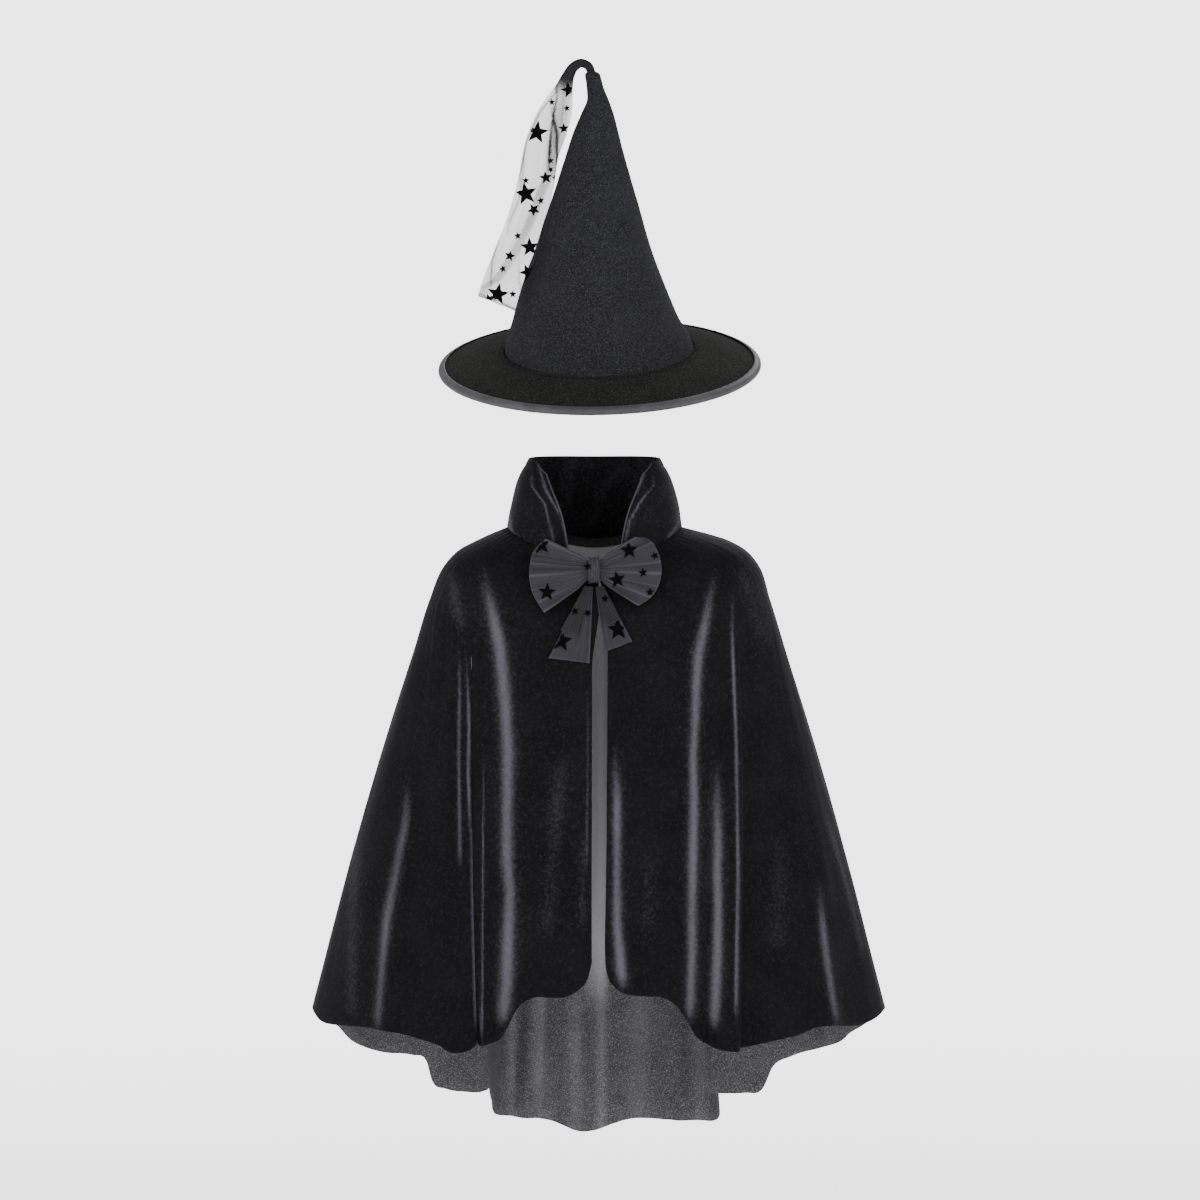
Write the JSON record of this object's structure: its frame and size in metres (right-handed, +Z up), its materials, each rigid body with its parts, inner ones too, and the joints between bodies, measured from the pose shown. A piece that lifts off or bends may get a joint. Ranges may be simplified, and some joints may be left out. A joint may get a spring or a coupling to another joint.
{
  "type": "witch costume, cape with bow and pointed hat",
  "caption": "Velvet cape with a stand collar, tulle bow and high-low hem, with a pointed felt hat above it that trails star-patterned tulle.",
  "frame": {"origin": "middle of the cape's neckline, where the wearer's neck and shoulders carry it", "axes": "+Z up, the cape's front faces -Y, +X to the right of someone who looks at the front"},
  "size_m": [0.5361, 0.3447, 1.0317],
  "materials": {
    "velvet": "short-pile velour, near black",
    "tape": "woven tape, dark grey",
    "tulle": "soft tulle with flocked stars",
    "felt": "stiff needled felt, charcoal",
    "satin": "satin bias tape, slate grey"
  },
  "bodies": {
    "root": {"front_left": "velvet", "front_right": "velvet", "back": "velvet", "collar_outer": "velvet", "collar_facing": "velvet", "neck_tape": "tape", "bow_loop_left": "tulle", "bow_loop_right": "tulle", "bow_drop_left": "tulle", "bow_drop_right": "tulle", "bow_tail_left": "tulle", "bow_tail_right": "tulle", "bow_knot": "tulle", "hat_cone": "felt", "hat_brim": "felt", "brim_binding": "satin", "hat_trail": "tulle"}
  },
  "joints": []
}
